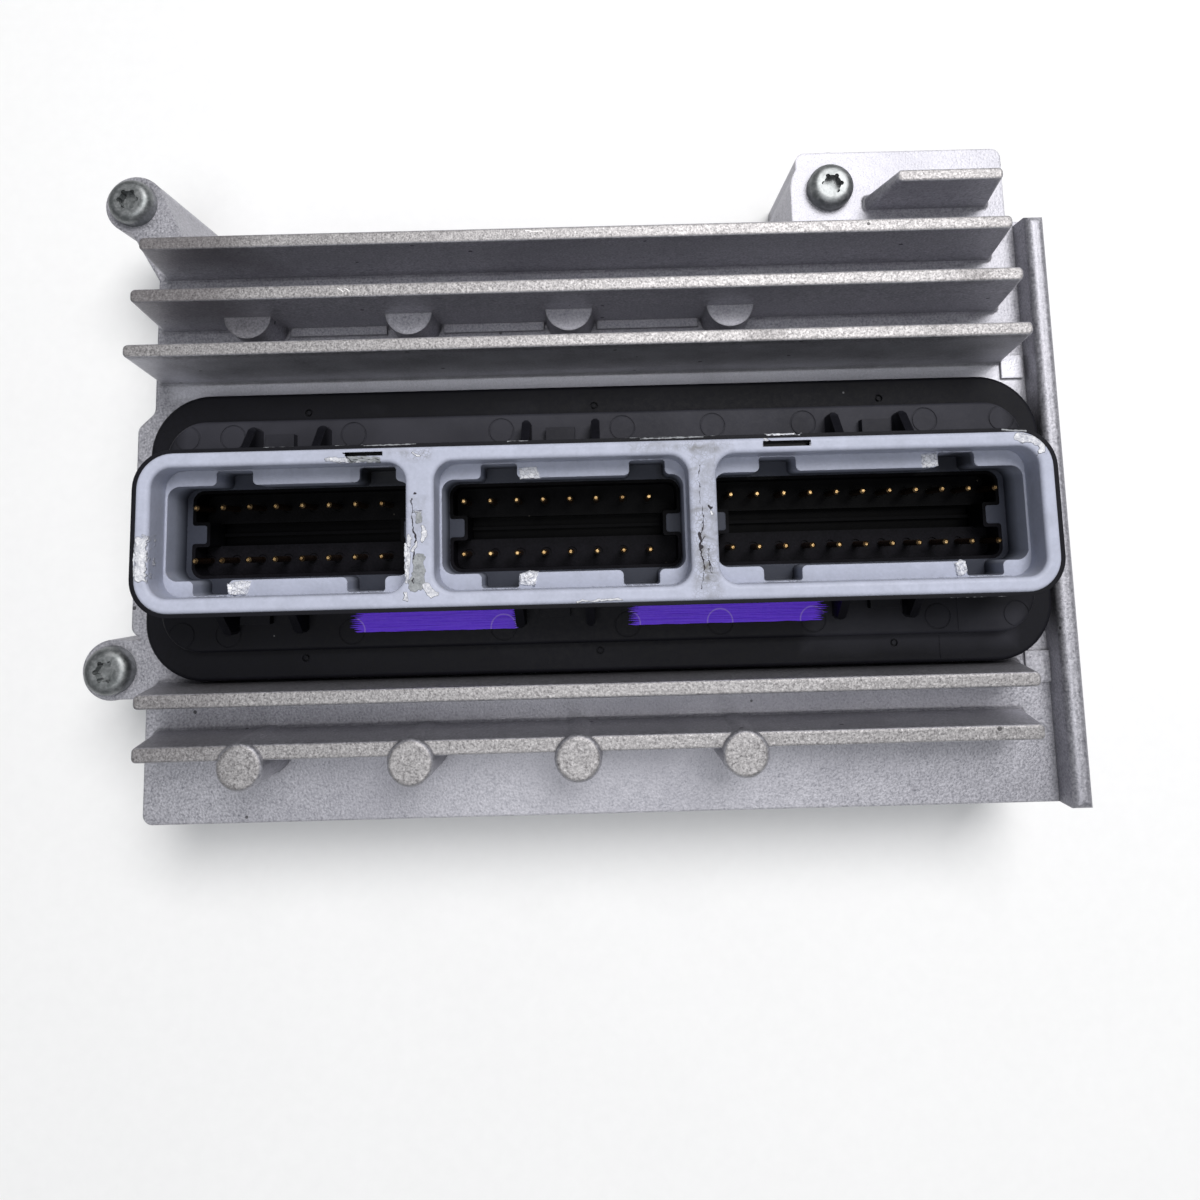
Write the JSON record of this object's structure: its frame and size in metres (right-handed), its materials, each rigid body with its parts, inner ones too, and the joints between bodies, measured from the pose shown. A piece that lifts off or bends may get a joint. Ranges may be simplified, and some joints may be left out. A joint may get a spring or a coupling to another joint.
{
  "type": "fuel injection control module",
  "caption": "Finned cast aluminium control box whose front carries a long three-socket pin header in a grey liner, with boards inside and a plate over the rear.",
  "frame": {"origin": "on the flat rear face, straight behind the middle of the header", "axes": "+Z out of the sockets, X along the row of sockets, Y across the fins"},
  "size_m": [0.1967, 0.1344, 0.062],
  "materials": {
    "cast_aluminium": "as cast, fine matt grain",
    "cover_aluminium": "as cast, fine matt grain",
    "black_plastic": "fine matt moulding",
    "grey_plastic": "satin",
    "carrier_plastic": "gloss",
    "pin_gold": "bright plated",
    "zinc_steel": "zinc plated",
    "seal_rubber": "matt",
    "board_laminate": "solder mask",
    "chip_plastic": "matt",
    "tinned_metal": "tinned",
    "heat_foil": "matt",
    "can_aluminium": "satin",
    "ferrite": "matt",
    "copper_wire": "enamelled",
    "link_plastic": "matt",
    "spacer_brass": "turned"
  },
  "bodies": {
    "root": {"bus_chip": "chip_plastic", "case_screws": "zinc_steel", "chip_leads": "tinned_metal", "cover_gasket": "seal_rubber", "header_base": "black_plastic", "header_screws": "zinc_steel", "header_seal": "seal_rubber", "heat_foils": "heat_foil", "heat_sink_housing": "cast_aluminium", "inductor_coils": "copper_wire", "inductor_cores": "ferrite", "injector_driver": "chip_plastic", "link_plug": "link_plastic", "link_receptacle": "link_plastic", "logic_board": "board_laminate", "logic_board_screws": "zinc_steel", "logic_board_spacers": "spacer_brass", "memory_chip": "chip_plastic", "pin_block_centre": "carrier_plastic", "pin_block_left": "carrier_plastic", "pin_block_right": "carrier_plastic", "pins_centre": "pin_gold", "pins_left": "pin_gold", "pins_right": "pin_gold", "power_board": "board_laminate", "power_board_screws": "zinc_steel", "power_transistors": "chip_plastic", "processor": "chip_plastic", "rear_cover": "cover_aluminium", "rear_screws": "zinc_steel", "socket_shroud": "grey_plastic", "storage_capacitors": "can_aluminium", "supply_chip": "chip_plastic", "transistor_leads": "tinned_metal"}
  },
  "joints": []
}
